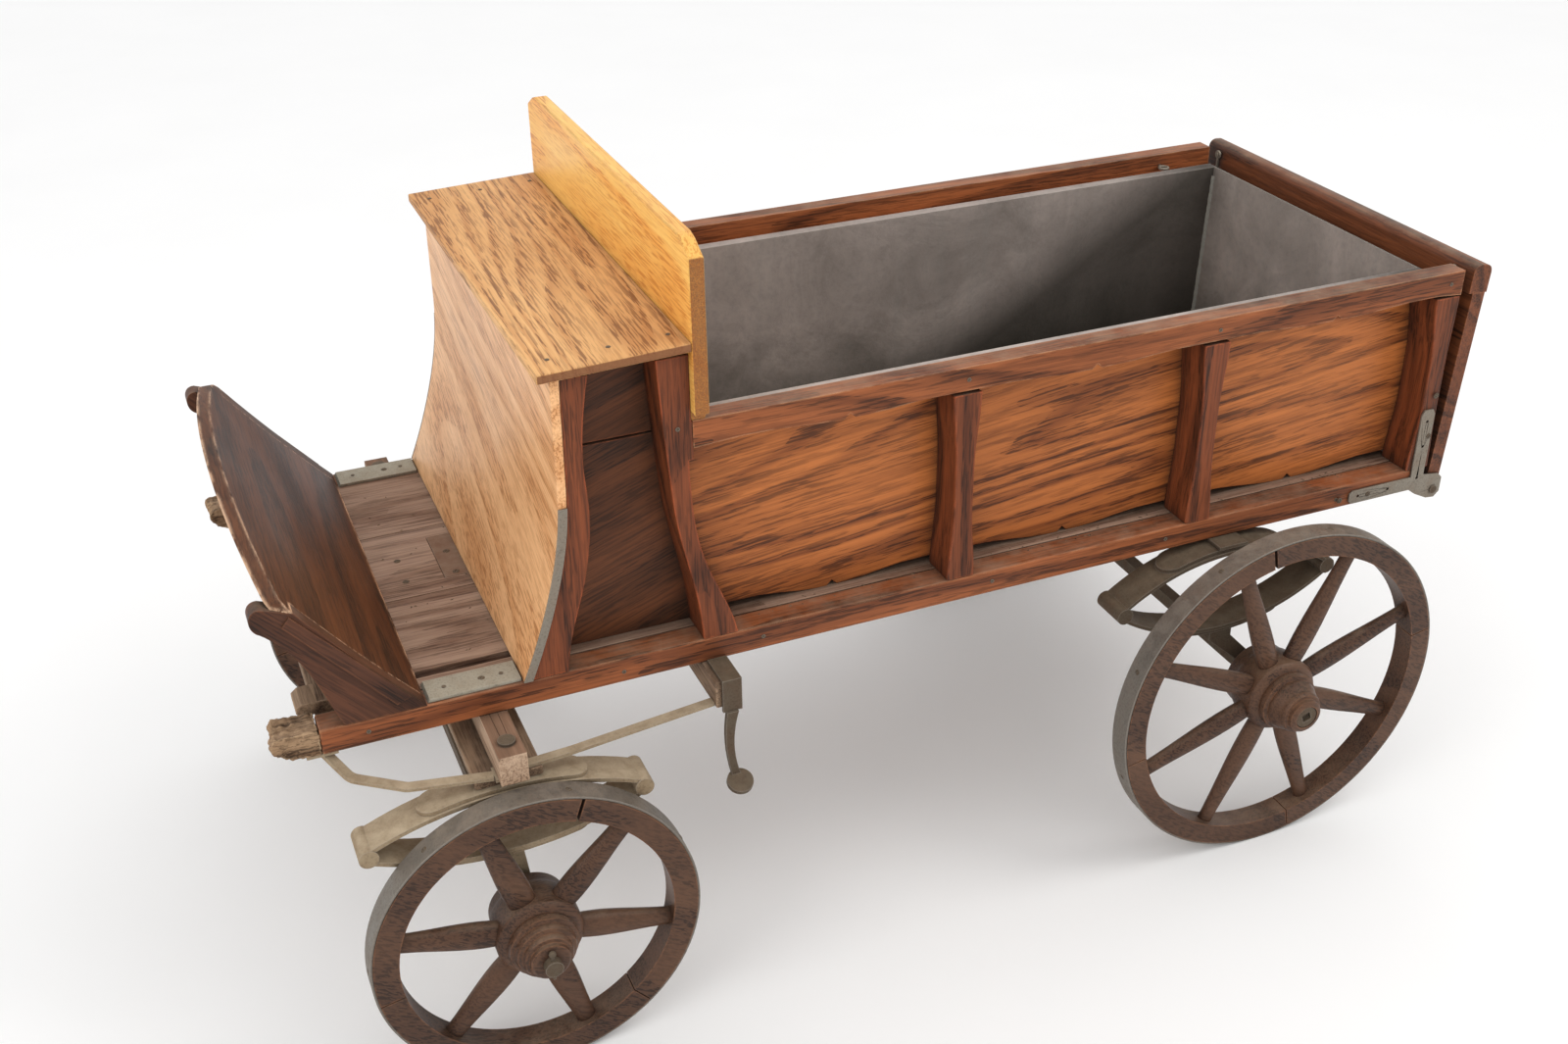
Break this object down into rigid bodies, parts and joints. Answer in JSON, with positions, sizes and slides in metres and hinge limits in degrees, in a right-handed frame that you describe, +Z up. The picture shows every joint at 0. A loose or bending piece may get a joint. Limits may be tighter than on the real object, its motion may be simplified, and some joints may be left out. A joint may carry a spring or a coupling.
{
  "type": "miniature goods wagon planter",
  "caption": "Small four-wheeled wooden goods wagon with seat, footwell, dash board, turning sprung front axle, drop tailgate and an open zinc-lined box for plants.",
  "frame": {"origin": "on the ground under the middle of the wagon's bounding box", "axes": "+X forward towards the dash, +Y to the wagon's left, +Z up"},
  "size_m": [1.1974, 0.682, 0.726],
  "materials": {
    "oak_body": "old brown varnish, dusty",
    "oak_riser": "worn golden varnish",
    "oak_seat": "worn golden varnish",
    "wood_dark": "dark stain with worn edges",
    "wood_weathered": "bare, weathered",
    "wood_wheel": "dark stain, dusty",
    "iron_tyre": "worn iron",
    "zinc": "dull oxidised zinc sheet",
    "iron_strap": "dull iron",
    "iron_dusty": "rusty iron under dust"
  },
  "bodies": {
    "wagon_body": {"body_fasteners": "iron_strap", "box_floor": "wood_weathered", "box_front_board": "oak_body", "corner_irons": "iron_strap", "dash_board": "wood_dark", "dash_brackets": "oak_body", "floor_bearers": "wood_weathered", "foot_boards": "wood_weathered", "foot_irons": "iron_strap", "front_bolster": "wood_weathered", "front_crosspiece": "wood_weathered", "king_bolt": "iron_strap", "rail_eyes": "iron_strap", "rear_axle": "iron_dusty", "rear_bolster": "wood_weathered", "rear_spring_seats": "iron_dusty", "rear_springs": "iron_dusty", "riser_edgings": "iron_strap", "rub_plate": "iron_strap", "seat_back": "oak_seat", "seat_board": "oak_seat", "seat_posts": "oak_body", "seat_riser": "oak_riser", "seat_side_boards": "oak_body", "shaft_bearers": "wood_weathered", "side_boards": "oak_body", "side_posts": "oak_body", "sill_noses": "oak_body", "sills": "oak_body", "stays": "iron_dusty", "step_bar": "wood_weathered", "step_irons": "iron_dusty", "top_rails": "oak_body", "zinc_liner": "zinc"},
    "fore_carriage": {"transom": "wood_weathered", "front_springs": "iron_dusty", "front_spring_seats": "iron_dusty", "front_axle": "iron_dusty", "linchpins": "iron_strap"},
    "front_left_wheel": {"wheel_front_left_nave": "wood_wheel", "wheel_front_left_spokes": "wood_wheel", "wheel_front_left_felloes": "wood_wheel", "wheel_front_left_tyre": "iron_tyre"},
    "front_right_wheel": {"wheel_front_right_nave": "wood_wheel", "wheel_front_right_spokes": "wood_wheel", "wheel_front_right_felloes": "wood_wheel", "wheel_front_right_tyre": "iron_tyre"},
    "rear_left_wheel": {"wheel_rear_left_nave": "wood_wheel", "wheel_rear_left_spokes": "wood_wheel", "wheel_rear_left_felloes": "wood_wheel", "wheel_rear_left_tyre": "iron_tyre"},
    "rear_right_wheel": {"wheel_rear_right_nave": "wood_wheel", "wheel_rear_right_spokes": "wood_wheel", "wheel_rear_right_felloes": "wood_wheel", "wheel_rear_right_tyre": "iron_tyre"},
    "tailgate": {"tailgate_board": "oak_body", "tailgate_rail": "oak_body", "hook_screws": "iron_strap"},
    "hook_left": {"hook_left": "iron_strap"},
    "hook_right": {"hook_right": "iron_strap"}
  },
  "joints": [
    {"name": "steer", "type": "hinge", "parent": "wagon_body", "child": "fore_carriage", "pos_m": [0.4165, 0, 0.3], "axis": [0, 0, 1], "range_deg": [-14, 14]},
    {"name": "front_left_spin", "type": "hinge", "parent": "fore_carriage", "child": "front_left_wheel", "pos_m": [0.4125, 0.287, 0.1465], "axis": [0, 1, 0], "continuous": true},
    {"name": "front_right_spin", "type": "hinge", "parent": "fore_carriage", "child": "front_right_wheel", "pos_m": [0.4125, -0.287, 0.1465], "axis": [0, 1, 0], "continuous": true},
    {"name": "rear_left_spin", "type": "hinge", "parent": "wagon_body", "child": "rear_left_wheel", "pos_m": [-0.354, 0.287, 0.1815], "axis": [0, 1, 0], "continuous": true},
    {"name": "rear_right_spin", "type": "hinge", "parent": "wagon_body", "child": "rear_right_wheel", "pos_m": [-0.354, -0.287, 0.1815], "axis": [0, 1, 0], "continuous": true},
    {"name": "tailgate_drop", "type": "hinge", "parent": "wagon_body", "child": "tailgate", "pos_m": [-0.5745, 0, 0.33], "axis": [0, -1, 0], "range_deg": [0, 175]},
    {"name": "hook_left_swing", "type": "hinge", "parent": "tailgate", "child": "hook_left", "pos_m": [-0.5736, 0.196, 0.562], "axis": [1, 0, 0], "range_deg": [-80, 80]},
    {"name": "hook_right_swing", "type": "hinge", "parent": "tailgate", "child": "hook_right", "pos_m": [-0.5736, -0.196, 0.562], "axis": [1, 0, 0], "range_deg": [-80, 80]}
  ]
}
